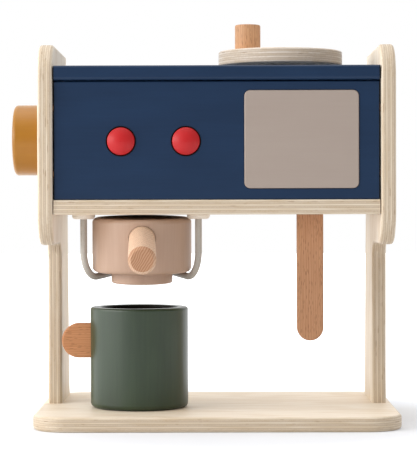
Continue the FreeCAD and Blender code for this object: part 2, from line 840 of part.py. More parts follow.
def make_spring(label, x):
    body = new_body(label)
    seat = "(-sizes.ply - sizes.spring_bore_depth)"
    sketch = sketch_on(body, "XZ")
    start = f"{seat} + sizes.spring_wire / 2 + sizes.glue_gap"
    circle(sketch, "sizes.spring_diameter / 2", start, "sizes.spring_wire")
    coil = body.newObject("PartDesign::AdditiveHelix", "coil")
    coil.Profile = sketch
    coil.ReferenceAxis = (sketch, ["V_Axis"])
    coil.Mode = "height-turns-angle"
    coil.setExpression("Height", f"{FLANGE_REAR} - {seat} - sizes.spring_wire - 2 * sizes.glue_gap")
    coil.setExpression("Turns", "sizes.spring_turns")
    doc.recompute()
    return keep(place_button(body, x))


def make_button_housing():
    body = new_body("button_housing")
    sketch = sketch_on(body, "XZ", FACE_REAR)
    half_width = f"((sizes.button_spacing + {SPRING_BORE}) / 2 + sizes.housing_wall)"
    half_height = f"({SPRING_BORE} / 2 + sizes.housing_wall)"
    rectangle(
        sketch, f"{BUTTON_MIDDLE} - {half_width}", f"{BUTTON_MIDDLE} + {half_width}",
        f"{BUTTON_LEVEL} - {half_height}", f"{BUTTON_LEVEL} + {half_height}")
    pad(sketch, "sizes.housing_depth")
    spots = [(x, BUTTON_LEVEL) for x in BUTTONS.values()]
    drill(body, "XZ", FACE_REAR, spots, SPRING_BORE, "sizes.spring_bore_depth")
    drill(body, "XZ", FACE_REAR, spots, "sizes.stem_diameter + 2 * sizes.stem_fit")
    drill(body, "XZ", FACE_REAR, HOUSING_SCREWS, SMALL_HOLE)
    return keep(body)


def make_housing_screws():
    forward = Rotation(Vector(1, 0, 0), -90)
    screws = []
    for x, z in HOUSING_SCREWS:
        screw = small_pan_screw("housing_screw", "sizes.housing_depth + sizes.face_bite")
        screws.append(place(screw, x, f"{FACE_REAR} + sizes.housing_depth", z, forward))
    return grouped("housing_screws", screws)


# Shared hardware of the dial and the disc. Both axles end inside the box in a washer and a nut

WASHER_TOP = "(-sizes.ply - sizes.face_gap)"
NUT_TOP = f"({WASHER_TOP} - sizes.washer_thickness)"
NUT_BOTTOM = f"({NUT_TOP} - sizes.nut_thickness)"
BOLT_END = f"({NUT_BOTTOM} - sizes.bolt_end)"
SHANK = "(sizes.bolt_diameter / 2)"


def washer(label, bore, diameter, low, high):
    return turned(label, [
        (f"{bore} / 2", low), (f"{diameter} / 2", low),
        (f"{diameter} / 2", high), (f"{bore} / 2", high)])


def hex_nut(label):
    body = new_body(label)
    sketch = sketch_on(body, "XY", NUT_BOTTOM)
    corner = "(sizes.nut_flats / 2 / cos(30))"
    angles = range(0, 360, 60)
    profile(sketch, [(f"{corner} * cos({angle})", f"{corner} * sin({angle})") for angle in angles])
    pad(sketch, "sizes.nut_thickness")
    drill(body, "XY", NUT_BOTTOM, [("0", "0")], THREAD_BORE)
    return body


# Dial. Local z points out of the left side, z = 0 on the panel's outer face

def place_dial(body):
    outward = Rotation(Vector(0, 1, 0), -90)
    return place(body, f"-{INNER} - sizes.ply", DIAL_Y, DIAL_LEVEL, outward)


def make_dial():
    rim = "(sizes.dial_diameter / 2)"
    inner = "sizes.dial_standoff"
    outer = "(sizes.dial_standoff + sizes.dial_thickness)"
    knob = turned("dial_knob", [("0", inner), (rim, inner), (rim, outer), ("0", outer)])
    round_edges(knob, ring_edges(rim, outer), "sizes.dial_round")
    round_edges(knob, ring_edges(rim, inner), "sizes.dial_back_round")
    drill(knob, "XY", inner, [("0", "0")], THREAD_BORE, "sizes.dial_socket")
    head = "(sizes.dial_standoff + sizes.dial_socket - sizes.glue_gap)"
    bolt = turned("dial_bolt", [("0", BOLT_END), (SHANK, BOLT_END), (SHANK, head), ("0", head)])
    spacer = washer("dial_spacer", THREAD_BORE, "sizes.spacer_diameter", "sizes.face_gap", inner)
    ring = washer("dial_washer", THREAD_BORE, "sizes.washer_diameter", NUT_TOP, WASHER_TOP)
    for body in (knob, bolt, spacer, ring, hex_nut("dial_nut")):
        keep(place_dial(body))


# Turning disc with its crank knob. Local z = 0 on the lid

def place_disc(body):
    return place(body, DISC_X, DISC_Y, LID_TOP)


def make_disc_bolt(top):
    # the head lies in a counterbore of the disc
    under_head = f"({top} - sizes.bolt_head_height - sizes.bolt_head_sink)"
    head = "(sizes.bolt_head / 2)"
    shoulder = f"({under_head} + sizes.bolt_head_side)"
    rise = "(sizes.bolt_head_height - sizes.bolt_head_side)"
    crown = f"({head} ^ 2 + {rise} ^ 2) / (2 * {rise})"
    return turned("grinder_bolt", [
        ("0", BOLT_END), (SHANK, BOLT_END), (SHANK, under_head), (head, under_head),
        (head, shoulder, crown), ("0", f"{under_head} + sizes.bolt_head_height")])


def make_crank_knob(top, x, y):
    knob = new_body("grinder_knob")
    sketch = sketch_on(knob, "XY", f"{top} - sizes.crank_socket")
    circle(sketch, x, y, "sizes.crank_diameter")
    pad(sketch, "sizes.crank_socket + sizes.crank_height")
    crown = value(f"{top} + sizes.crank_height")
    round_edges(knob, lambda edge: near(edge.BoundBox.ZMin, crown), "sizes.crank_round")
    return knob


def make_grinder():
    rim = "(sizes.disc_diameter / 2)"
    under = "sizes.disc_lift"
    top = "(sizes.disc_lift + sizes.disc_thickness)"
    crank_x = "(sizes.crank_radius * cos(sizes.crank_angle))"
    crank_y = "(sizes.crank_radius * sin(sizes.crank_angle))"
    disc = turned("grinder_disc", [("0", under), (rim, under), (rim, top), ("0", top)])
    round_edges(disc, ring_edges(rim, top), "sizes.disc_round")
    round_edges(disc, ring_edges(rim, under), "sizes.disc_round")
    drill(disc, "XY", under, [("0", "0")], THREAD_BORE)
    counterbore = "(sizes.bolt_head + 2 * sizes.bolt_head_gap)"
    depth = "sizes.bolt_head_height + sizes.bolt_head_sink"
    drill(disc, "XY", top, [("0", "0")], counterbore, depth, toward=-1)
    socket = "(sizes.crank_diameter + 2 * sizes.glue_gap)"
    drill(disc, "XY", top, [(crank_x, crank_y)], socket, "sizes.crank_socket", toward=-1)
    knob = make_crank_knob(top, crank_x, crank_y)
    bolt = make_disc_bolt(top)
    ring = washer("grinder_washer", THREAD_BORE, "sizes.washer_diameter", NUT_TOP, WASHER_TOP)
    spacer_top = "sizes.disc_lift - sizes.face_gap"
    spacer = washer("grinder_spacer", SHAFT_BORE, "sizes.disc_spacer_diameter", "0", spacer_top)
    for body in (disc, knob, bolt, ring, hex_nut("grinder_nut"), spacer):
        keep(place_disc(body))


# Portafilter. Local z = 0 on the underside of its wide body, handle towards -y

def make_portafilter():
    # the loose piece stands turned a little and leans towards its handle
    turn = Rotation(Vector(0, 0, 1), value("sizes.filter_turn"))
    turn = turn * Rotation(Vector(1, 0, 0), value("sizes.filter_lean"))
    rim = "(sizes.filter_diameter / 2)"
    spout = "(sizes.spout_diameter / 2)"
    body = turned("portafilter_body", [
        ("0", "-sizes.spout_height"), (spout, "-sizes.spout_height"), (spout, "0"),
        (rim, "0"), (rim, "sizes.filter_height"), ("0", "sizes.filter_height")])
    round_edges(body, ring_edges(rim, "0"), "sizes.filter_round")
    round_edges(body, ring_edges(rim, "sizes.filter_height"), "sizes.filter_top_round")
    round_edges(body, ring_edges(spout, "-sizes.spout_height"), "sizes.spout_round")
    # the handle's axis meets the body's side at this height and falls by handle_tilt
    forward = Rotation(Vector(1, 0, 0), 90 + value("sizes.handle_tilt"))
    axis = forward.multVec(Vector(0, 0, 1))
    root = Vector(0, -value(rim), value("sizes.filter_height - sizes.handle_below"))
    inner_end = root - axis * value("sizes.handle_socket")
    socket = body.newObject("PartDesign::SubtractiveCylinder", "handle_socket")
    socket.setExpression("Radius", "sizes.handle_diameter / 2 + sizes.handle_gap")
    socket.setExpression("Height", "sizes.handle_socket + sizes.handle_diameter")
    socket.Placement = Placement(inner_end, forward)
    doc.recompute()
    keep(place(body, FILTER_X, FILTER_Y, FILTER_BOTTOM, turn))
    radius = "sizes.handle_diameter / 2"
    reach = f"((sizes.handle_reach - {rim}) / cos(sizes.handle_tilt))"
    length = f"(sizes.handle_socket + {reach})"
    handle = turned("portafilter_handle", [
        ("0", "sizes.glue_gap"), (radius, "sizes.glue_gap"),
        (radius, f"{length} - sizes.handle_chamfer"),
        (f"{radius} - sizes.handle_chamfer", length), ("0", length)])
    handle.Placement = body.Placement * Placement(inner_end, forward)
    return keep(handle)


# Wire cradle. Its stems drop from the shelf, bend back under the body and meet in a ring
# behind the spout. The arms and the ring lie in one plane, which is steeper than the leaning
# body and touches it near the ring's back.
# Local z = 0 on the underside of the portafilter's body

def cradle_path():
    lean = math.radians(value("sizes.filter_lean"))
    slope = math.radians(value("sizes.arm_slope"))
    touch = value("sizes.arm_touch")
    radius = value("sizes.ring_radius")
    bend = value("sizes.wire_bend")
    half = value(f"{STEM_SPACING} / 2")
    forward = value("sizes.stem_forward") / math.cos(slope)
    back = value("sizes.ring_back")
    drop = value("sizes.wire_diameter / 2 + sizes.face_gap") / math.cos(slope)
    drop += touch * (math.tan(slope) - math.tan(lean))
    top_z = value(f"{SHELF_TOP} + sizes.wire_end - {FILTER_BOTTOM}")
    up = Vector(0, 0, 1)
    backward = Vector(0, math.cos(slope), math.sin(slope))

    def in_plane(x, y):
        return Vector(x, 0, -drop) + backward * y

    def mirror(point):
        return Vector(-point.x, point.y, point.z)

    # each arm runs straight from its stem and meets the ring as a tangent
    rise = back + forward
    distance = math.hypot(half, rise)
    heading = math.atan2(rise, half) + math.asin(radius / distance)
    run = math.sqrt(distance ** 2 - radius ** 2)
    step = Vector(math.cos(heading), 0, 0) + backward * math.sin(heading)
    foot = in_plane(-half, -forward)
    ring_start = foot + step * run
    ring_back = in_plane(0, back + radius)
    # the bend is tangent to the stem and to the arm
    half_angle = up.getAngle(step) / 2
    tangent = bend / math.tan(half_angle)
    inward = up + step
    inward.normalize()
    bend_start = foot + up * tangent
    bend_middle = foot + inward * (bend / math.sin(half_angle) - bend)
    bend_end = foot + step * tangent
    top = Vector(foot.x, foot.y, top_z)
    edges = [
        Part.LineSegment(top, bend_start),
        Part.Arc(bend_start, bend_middle, bend_end),
        Part.LineSegment(bend_end, ring_start),
        Part.Arc(ring_start, ring_back, mirror(ring_start)),
        Part.LineSegment(mirror(ring_start), mirror(bend_end)),
        Part.Arc(mirror(bend_end), mirror(bend_middle), mirror(bend_start)),
        Part.LineSegment(mirror(bend_start), mirror(top)),
    ]
    return Part.Wire([edge.toShape() for edge in edges])


def make_cradle_wire():
    path = cradle_path()
    first = path.OrderedEdges[0]
    start = first.valueAt(first.FirstParameter)
    radius = value("sizes.wire_diameter / 2")
    section = Part.Wire([Part.Circle(start, Vector(0, 0, 1), radius).toShape()])
    wire = doc.addObject("Part::Feature", "cradle_wire")
    wire.Label = "cradle_wire"
    wire.Shape = path.makePipeShell([section], True, True)
    expected = path.Length * math.pi * radius ** 2
    share = wire.Shape.Volume / expected
    print("cradle wire: length", round(path.Length, 1), "volume ratio", round(share, 4))
    return keep(place(wire, FILTER_X, FILTER_Y, FILTER_BOTTOM))


def make_cradle_stops():
    collars = []
    nuts = []
    low = "-sizes.collar_height"
    for x, y in STEMS:
        collar = washer("cradle_collar", WIRE_HOLE, "sizes.collar_diameter", low, "0")
        round_edges(collar, ring_edges("sizes.collar_diameter / 2", low), "sizes.collar_round")
        collars.append(place(collar, x, y, SHELF_BOTTOM))
        nut = washer("push_nut", WIRE_HOLE, "sizes.push_nut_diameter", "0", "sizes.push_nut_height")
        nuts.append(place(nut, x, y, SHELF_TOP))
    grouped("cradle_collars", collars)
    grouped("cradle_push_nuts", nuts)


# Wand on its pin, in a bracket on the shelf

def make_wand():
    half = "(sizes.wand_width / 2)"
    tip = f"({SHELF_BOTTOM} - {PIVOT_LEVEL} - sizes.wand_drop + {half})"
    body = new_body("wand")
    sketch = sketch_on(body, "XZ")
    profile(sketch, [
        (half, tip), (half, "0", HALF_ROUND), (f"-{half}", "0"), (f"-{half}", tip, HALF_ROUND)])
    pad(sketch, "sizes.wand_thickness", both_ways=True)
    round_edges(body, lambda edge: square_to(edge, "y"), "sizes.wand_round")
    drill(body, "XZ", "0", [("0", "0")], "sizes.pin_diameter + 2 * sizes.shaft_fit")
    return keep(place(body, WAND_X, WAND_Y, PIVOT_LEVEL))


def make_wand_bracket():
    body = new_body("wand_bracket")
    foot = sketch_on(body, "XY")
    half_foot = f"({SLOT_HALF} + sizes.bracket_ear)"
    rectangle(foot, f"-{half_foot}", half_foot, f"-{BRACKET_DEPTH}", BRACKET_DEPTH)
    pad(foot, "sizes.bracket_foot")
    cheeks = sketch_on(body, "XZ")
    crown = "(sizes.cheek_width / 2)"
    profile(cheeks, [
        (f"-{crown}", "0"), (crown, "0"),
        (crown, "sizes.pivot_height", HALF_ROUND), (f"-{crown}", "sizes.pivot_height")])
    pad(cheeks, f"2 * {BRACKET_DEPTH}", both_ways=True)
    opening = sketch_on(body, "XY")
    rectangle(opening, f"-{SLOT_HALF}", SLOT_HALF, f"-{SLOT_DEPTH}", SLOT_DEPTH)
    pocket(opening)
    pin_hole = "sizes.pin_diameter + 2 * sizes.glue_gap"
    drill(body, "XZ", "0", [("0", "sizes.pivot_height")], pin_hole)
    ears = [(f"{side} * {EAR_SHIFT}", "0") for side in (-1, 1)]
    drill(body, "XY", "0", ears, SMALL_HOLE)
    return keep(place(body, WAND_X, WAND_Y, SHELF_TOP))


def make_wand_fixings():
    pin = new_body("wand_pin")
    rod = sketch_on(pin, "XZ")
    circle(rod, "0", "0", "sizes.pin_diameter")
    pad(rod, f"2 * {BRACKET_DEPTH}", both_ways=True)
    keep(place(pin, WAND_X, WAND_Y, PIVOT_LEVEL))
    screws = []
    for x, y in BRACKET_SCREWS:
        screw = small_pan_screw("bracket_screw", "sizes.bracket_foot + sizes.face_bite")
        screws.append(place(screw, x, y, f"{SHELF_TOP} + sizes.bracket_foot"))
    grouped("bracket_screws", screws)


# Cup with its tab handle. Local origin in the middle of its underside

def place_cup(body):
    return place(body, f"{FILTER_X} - sizes.cup_left", f"{FILTER_Y} + sizes.cup_back", CUP_SEAT)


def make_cup():
    wall = "(sizes.cup_diameter / 2)"
    bore = "(sizes.cup_diameter / 2 - sizes.cup_wall)"
    body = turned("cup_body", [
        ("0", "0"), (wall, "0"), (wall, "sizes.cup_height"), (bore, "sizes.cup_height"),
        (bore, "sizes.cup_floor"), ("0", "sizes.cup_floor")])
    round_edges(body, ring_edges(wall, "0"), "sizes.cup_foot_round")
    round_edges(body, ring_edges(bore, "sizes.cup_floor"), "sizes.cup_foot_round")
    round_edges(body, ring_edges(wall, "sizes.cup_height"), "sizes.cup_rim_round")
    round_edges(body, ring_edges(bore, "sizes.cup_height"), "sizes.cup_rim_round")
    half = "(sizes.tab_height / 2)"
    low = f"(sizes.tab_level - {half})"
    high = f"(sizes.tab_level + {half})"
    side = "(sizes.tab_thickness / 2 + sizes.inlay_gap)"
    # the slot's cut starts one wall outside the cup
    slot = sketch_on(body, "YZ", f"-{wall} - sizes.cup_wall")
    rectangle(slot, f"-{side}", side, f"{low} - sizes.inlay_gap", f"{high} + sizes.inlay_gap")
    pocket(slot, "sizes.cup_wall + sizes.tab_socket")
    keep(place_cup(body))
    tab = new_body("cup_tab")
    sketch = sketch_on(tab, "XZ")
    root = f"(-{wall} + sizes.tab_socket - sizes.inlay_gap)"
    outer = f"(-{wall} - sizes.tab_reach + {half})"
    profile(sketch, [(root, low), (root, high), (outer, high, HALF_ROUND), (outer, low)])
    pad(sketch, "sizes.tab_thickness", both_ways=True)
    root_value = value(root)
    round_edges(
        tab, lambda edge: square_to(edge, "y") and not near(edge.BoundBox.XMin, root_value),
        "sizes.tab_round")
    return keep(place_cup(tab))


def check_and_export():
    os.makedirs("parts", exist_ok=True)
    doc.recompute()
    for item in doc.Objects:
        if "Invalid" in item.State or "Error" in item.State:
            raise RuntimeError(f"{item.Label} failed: {item.State}")
    for label, part in nodes.items():
        if part.Shape.isNull() or not part.Shape.isValid():
            raise RuntimeError(f"{label} has no valid shape")
    for label, part in nodes.items():
        part.Shape.exportStep(f"parts/{label}.step")
        box = part.Shape.BoundBox
        low = [round(number, 1) for number in (box.XMin, box.YMin, box.ZMin)]
        high = [round(number, 1) for number in (box.XMax, box.YMax, box.ZMax)]
        print(label, low, high, "solids", len(part.Shape.Solids))


make_base_board()
make_side_panel("left_side_panel", -1)
make_side_panel("right_side_panel", 1)
make_shelf_board()
make_front_panel()
make_top_board()
make_back_panel()
make_screen_plate()
make_panel_dowels()
make_base_screws()
make_back_panel_screws()
for button, across in BUTTONS.items():
    make_button(button, across)
    make_spring(f"{button}_spring", across)
make_button_housing()
make_housing_screws()
make_dial()
make_grinder()
make_portafilter()
make_cradle_wire()
make_cradle_stops()
make_wand()
make_wand_bracket()
make_wand_fixings()
make_cup()
check_and_export()
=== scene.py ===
# %% [markdown]
# # A wooden toy coffee maker
#
# The real toy is a box of painted plywood between two plywood sides, with turned and painted
# beech pieces on it. The CAD model already holds every piece at its real size, so this script
# leaves all shapes alone and gives each piece the finish that it has in the hand: lacquered
# birch with its layers showing, satin paint, plain oiled beech, powder coat, moulded plastic
# and zinc plated screws.

# %% Load the model as a fixed frame
import math

import bpy
from mathutils import Euler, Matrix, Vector


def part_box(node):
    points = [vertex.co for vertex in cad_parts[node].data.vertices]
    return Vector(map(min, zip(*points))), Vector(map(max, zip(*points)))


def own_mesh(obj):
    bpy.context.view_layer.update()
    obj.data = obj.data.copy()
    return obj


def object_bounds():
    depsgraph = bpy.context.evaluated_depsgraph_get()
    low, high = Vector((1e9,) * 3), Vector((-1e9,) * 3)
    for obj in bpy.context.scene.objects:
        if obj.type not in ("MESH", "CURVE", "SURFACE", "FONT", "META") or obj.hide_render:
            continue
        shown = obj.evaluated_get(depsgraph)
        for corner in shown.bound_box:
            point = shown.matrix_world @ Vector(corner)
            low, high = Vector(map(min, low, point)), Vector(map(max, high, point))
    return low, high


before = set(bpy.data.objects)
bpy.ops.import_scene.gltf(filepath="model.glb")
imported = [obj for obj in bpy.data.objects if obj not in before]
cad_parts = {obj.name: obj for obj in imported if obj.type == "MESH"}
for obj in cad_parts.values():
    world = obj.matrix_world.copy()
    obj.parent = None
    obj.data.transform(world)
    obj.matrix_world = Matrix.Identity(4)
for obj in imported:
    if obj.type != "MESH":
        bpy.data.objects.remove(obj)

cad_low, cad_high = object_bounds()
print("the CAD box, in mm:", [round(1000 * side) for side in cad_high - cad_low])

# %% [markdown]
# ## Real sizes
#
# Blender works in metres here. Real boards, screws and wood grain are easier to think of in
# millimetres, so sizes of the toy and its grain are written in millimetres and turned into
# metres by one name. A pattern's scale is the other way round: Blender asks how many times
# the pattern repeats in a metre, so a size in millimetres is turned into a count per metre.

# %% Millimetres
MM = 0.001


def per_metre(size):
    """How often a pattern of this size in millimetres repeats in a metre."""
    return 1 / (size * MM)


print("a pattern of 2 mm repeats", round(per_metre(2)), "times in a metre")

# %% [markdown]
# ## The camera
#
# The product picture was taken from about 1.2 m with a long lens, level with the middle of
# the toy. Lines that run straight to the back all meet in one point of the picture, and that
# point tells how far the camera was turned away from them. The lens could be shifted instead,
# as on a camera for buildings, but a camera that is aimed by these angles gives the same view
# with no shift.

# %% Aim the camera
IMAGE_WIDTH = 417
IMAGE_HEIGHT = 459
SENSOR = 36
FOCAL_PIXELS = 1838
MEETING_POINT = (215, 205)
EYE = Vector((-1.1, -1177.5, 136.5)) * MM
ROLL = math.radians(0.15)

yaw = math.atan((MEETING_POINT[0] - IMAGE_WIDTH / 2) / FOCAL_PIXELS)
pitch = math.atan((MEETING_POINT[1] - IMAGE_HEIGHT / 2) / FOCAL_PIXELS)
camera_data = bpy.data.cameras.new("camera")
camera_data.sensor_width = SENSOR
camera_data.lens = SENSOR * FOCAL_PIXELS / IMAGE_HEIGHT
camera = bpy.data.objects.new("camera", camera_data)
camera.location = EYE
camera.rotation_euler = Euler((math.pi / 2 + pitch, ROLL, yaw), "XYZ")
bpy.context.scene.collection.objects.link(camera)
bpy.context.scene.camera = camera
print("lens", round(camera_data.lens, 1), "mm, pitched", round(math.degrees(pitch), 2), "degrees")

# %% [markdown]
# ## Colours, nodes and materials
#
# Every finish below is a small network of nodes. One function adds a node, sets it up and
# links it, so that a network reads from top to bottom like a recipe. Colours are written the
# way a colour picker shows them; Blender computes with linear light, so one more function
# turns the one into the other. A property that is the same all over a surface is set on the
# shader itself, and only what changes from place to place comes through a link.

# %% Turn a picked colour into linear light
def linear(colour):
    """A colour picker's hex colour as the linear light that Blender computes with."""
    shares = [int(colour[start:start + 2], 16) / 255 for start in (1, 3, 5)]
    light = [c / 12.92 if c <= 0.04045 else ((c + 0.055) / 1.055) ** 2.4 for c in shares]
    return (*light, 1.0)


print("mid grey #808080 is", round(linear("#808080")[0], 3), "in linear light")

# %% Add a node, start a material and feed its shader
def add(tree, kind, settings={}, links={}):
    """Add one node. A setting is a property of the node, or else the value of an input.
    A link comes from a socket, or from the first output that a node has in use."""
    node = tree.nodes.new("ShaderNode" + kind)

    def socket(name):
        if isinstance(name, int):
            return node.inputs[name]
        return next(item for item in node.inputs if item.enabled and item.name == name)

    for name, setting in settings.items():
        if isinstance(name, str) and hasattr(node, name):
            setattr(node, name, setting)
        else:
            socket(name).default_value = setting
    for name, source in links.items():
        if isinstance(source, bpy.types.Node):
            source = next(item for item in source.outputs if item.enabled)
        tree.links.new(source, socket(name))
    return node


def new_material(name, settings):
    """A material with one shader, whose even properties are set on the shader itself."""
    material = bpy.data.materials.new(name)
    material.use_nodes = True
    tree = material.node_tree
    tree.nodes.clear()
    shader = add(tree, "BsdfPrincipled", settings)
    add(tree, "OutputMaterial", links={"Surface": shader})
    return material, tree, shader


def feed(tree, node, shader, name):
    """Link the output that a node has in use to one input of the shader."""
    output = next(item for item in node.outputs if item.enabled)
    tree.links.new(output, shader.inputs[name])


print("wood and paint have an IOR of about 1.5, metal keeps the default one")

# %% [markdown]
# ## The paper
#
# A toy like this is photographed on white paper. The paper reaches white all around the toy,
# but it keeps the toy's shadow. More light would whiten it too, and it would bleach the toy.
# So the paper here is a big flat sheet just under the toy that bounces light as paper does,
# and only what is seen of it, straight or mirrored, is lifted to white: there it gets a
# little light of its own, which grows away from the toy and doesn't light its matt sides.

# %% The paper under the toy
PAPER_HALF = 4.0
PAPER_GAP = 0.02 * MM
SHADOW_REACH = 0.13   # metres from the middle of the toy, where the lift starts
WHITE_FROM = 0.3
FIRST_LIFT = 0.1

half = PAPER_HALF
paper_mesh = bpy.data.meshes.new("white_paper")
paper_mesh.from_pydata(
    [(-half, -half, 0), (half, -half, 0), (half, half, 0), (-half, half, 0)], [], [(0, 1, 2, 3)])
paper = bpy.data.objects.new("white_paper", paper_mesh)
paper.location.z = cad_low.z - PAPER_GAP
bpy.context.scene.collection.objects.link(paper)

# Matt white paper sends light back evenly in all directions.
paper_finish = bpy.data.materials.new("matt white paper")
paper_finish.use_nodes = True
tree = paper_finish.node_tree
tree.nodes.clear()
sheet = add(tree, "BsdfDiffuse", {"Color": linear("#E8EAEE")})
place = add(tree, "TexCoord")
away = add(tree, "VectorMath", {"operation": "LENGTH"}, {0: place.outputs["Object"]})
lift = add(tree, "MapRange", {"interpolation_type": "SMOOTHSTEP", "From Min": SHADOW_REACH,
                              "From Max": WHITE_FROM, "To Min": FIRST_LIFT, "To Max": 1.0},
           {"Value": away.outputs["Value"]})
ray = add(tree, "LightPath")
shiny = add(tree, "Math", {"operation": "MAXIMUM"},
            {0: ray.outputs["Is Glossy Ray"], 1: ray.outputs["Is Transmission Ray"]})
seen = add(tree, "Math", {"operation": "MAXIMUM"}, {0: ray.outputs["Is Camera Ray"], 1: shiny})
glow = add(tree, "Math", {"operation": "MULTIPLY"}, {0: seen, 1: lift})
own_light = add(tree, "Emission", {"Color": (1, 1, 1, 1)}, {"Strength": glow})
both = add(tree, "AddShader", links={0: sheet, 1: own_light})
add(tree, "OutputMaterial", links={"Surface": both})
paper_mesh.materials.append(paper_finish)
print("the paper is", 2 * PAPER_HALF, "m wide")

# %% [markdown]
# ## The lamps
#
# The picture's shadows are soft and fall to the right, so a soft box stands close by on the
# left, a little in front. A weaker one hangs above and lights the lid and the upper rims. A
# small lamp would draw hard shadows, and the size of a soft box sets how soft they are.

# %% Two soft boxes
def soft_box(name, place, width, height, power):
    """A soft box of this width and height that points at the middle of the toy."""
    lamp = bpy.data.lights.new(name, "AREA")
    lamp.shape = "RECTANGLE"
    lamp.size = width
    lamp.size_y = height
    lamp.energy = power
    holder = bpy.data.objects.new(name, lamp)
    holder.location = place
    aim = Vector((0, 0, 0.12)) - holder.location
    holder.rotation_euler = aim.to_track_quat("-Z", "Y").to_euler()
    bpy.context.scene.collection.objects.link(holder)


soft_box("left_lamp", place=(-1.05, -0.46, 0.42), width=1.2, height=0.5, power=10)
soft_box("top_lamp", place=(-0.2, 0.0, 1.5), width=1.2, height=1.2, power=6)
print("lamps:", [item.name for item in bpy.data.lights])

# %% [markdown]
# ## The room
#
# The rest of the light comes from the room, a white tent that is darker on the camera's side,
# because that is where its opening is. Shiny surfaces mirror the tent's bright left, rear and
# upper walls and its dark opening, and that shapes their highlights. A photograph of a studio
# could be wrapped round the scene for this, but two smooth ramps say the same and can be read.
# The camera alone sees the tent as plain white: that makes a white background, and it costs
# the toy's colours nothing.

# %% A white tent
FRONT = 0.48
SIDES = 0.9
OPENING = 0.12
BRIGHTEST_WALL = 1.5
TOWARDS_BRIGHTEST = (-0.6, 0.5, 0.5)

world = bpy.data.worlds.new("white_room")
world.use_nodes = True
tree = world.node_tree
tree.nodes.clear()
ray = add(tree, "LightPath")
sky = add(tree, "TexCoord")
sides = add(tree, "SeparateXYZ", links={"Vector": sky.outputs["Generated"]})
tent = add(tree, "MapRange", {"interpolation_type": "SMOOTHSTEP", "From Min": -1.0,
                              "From Max": -0.1, "To Min": FRONT, "To Max": SIDES},
           {"Value": sides.outputs["Y"]})
bright = add(tree, "VectorMath", {"operation": "DOT_PRODUCT", 1: TOWARDS_BRIGHTEST},
             {0: sky.outputs["Generated"]})
walls = add(tree, "MapRange", {"interpolation_type": "SMOOTHSTEP", "From Min": -0.6,
                               "From Max": 0.6, "To Min": OPENING, "To Max": BRIGHTEST_WALL},
            {"Value": bright.outputs["Value"]})
mirrored = add(tree, "Mix", links={"Factor": ray.outputs["Is Glossy Ray"], "A": tent, "B": walls})
strength = add(tree, "Mix", {"B": 1.0}, {"Factor": ray.outputs["Is Camera Ray"], "A": mirrored})
white = add(tree, "Background", {"Color": (1, 1, 1, 1)}, {"Strength": strength})
add(tree, "OutputWorld", links={"Surface": white})
bpy.context.scene.world = world
bpy.context.scene.view_settings.view_transform = "Standard"
print("the tent's light goes from", FRONT, "in front to", SIDES, "at its sides")

# %% [markdown]
# ## The directions of wood
#
# Wood looks different along its grain and across it, and where a saw cuts the fibres off it
# is darker still. Each wooden piece therefore gets its own three directions: first along the
# grain, then across it, then through the board. A picture of wood could be laid on each face,
# but it would break at every edge, so the patterns here fill the whole solid. The function
# below sorts the model's X, Y and Z into that order, both for the place of a point and for
# the way its surface faces.

# %% Sort X, Y and Z into along, across and through
X = 0
Y = 1
Z = 2


def wood_directions(tree, along, across, tilt=0.0):
    """The place of a point and the facing of its surface, in the wood's own directions."""
    coordinates = add(tree, "TexCoord")
    order = (along, across, 3 - along - across)
    sorted_vectors = []
    for output in ("Object", "Normal"):
        leaned = add(tree, "VectorRotate", {"rotation_type": "X_AXIS", "Angle": tilt},
                     {"Vector": coordinates.outputs[output]})
        parts = add(tree, "SeparateXYZ", links={"Vector": leaned})
        sorted_vectors.append(add(tree, "CombineXYZ", links={
            number: parts.outputs[axis] for number, axis in enumerate(order)}))
    return sorted_vectors


def stretched(tree, place, sizes):
    """The place, measured in pattern sizes in millimetres along, across and through."""
    return add(tree, "VectorMath", {"operation": "MULTIPLY", 1: [per_metre(size) for size in sizes]},
               {0: place})


print("a dowel that stands up has its grain along axis", Z)

# %% [markdown]
# ## The layers of plywood
#
# The boards are 9 mm birch plywood: seven peeled layers, glued with each one's grain square
# to the next. A picture wrapped round the board could never run through it, so this material
# is solid. It counts the layers from one face of the board. The two faces lie a hair inside
# the outer layers, so that no rounding error speckles them.

# %% Count the layers
PLY_COUNT = 7
BOARD = 9
SKIN = 0.02
LAYERS_PER_METRE = (PLY_COUNT - 2 * SKIN) / (BOARD * MM)


def count_layers(tree, board, through, height):
    """How many layers deep a point is, the number of its layer, and 1 where that is crossed."""
    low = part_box(board)[0][through]
    depth = add(tree, "Math", {"operation": "MULTIPLY_ADD", 1: LAYERS_PER_METRE,
                               2: SKIN - low * LAYERS_PER_METRE}, {0: height})
    layer = add(tree, "Math", {"operation": "FLOOR"}, {0: depth})
    pair = add(tree, "Math", {"operation": "FLOORED_MODULO", 1: 2}, {0: layer})
    crossed = add(tree, "Math", {"operation": "GREATER_THAN", 1: 0.5}, {0: pair})
    return depth, layer, crossed


print(PLY_COUNT, "layers of", round(BOARD / PLY_COUNT, 2), "mm")

# %% [markdown]
# ## Peeled birch
#
# A layer of plywood is peeled off a turning log with a long knife, so the knife follows the
# growth rings for a while and crosses them in long closed loops. Straight bands, bent a
# little, would look like a sawn board. The contour lines of a slow wave close into loops of
# the right kind. Fine streaks of vessels lie over them.

# %% The colour of peeled birch
VESSELS = (24, 0.7, 0.7)   # birch vessels are about 0.1 mm wide, drawn wider so that they show
FIGURE = (110, 26, 26)
LOOPS = 34
BIRCH = "#F8EBD8"
BIRCH_STREAK = "#E3CEB0"


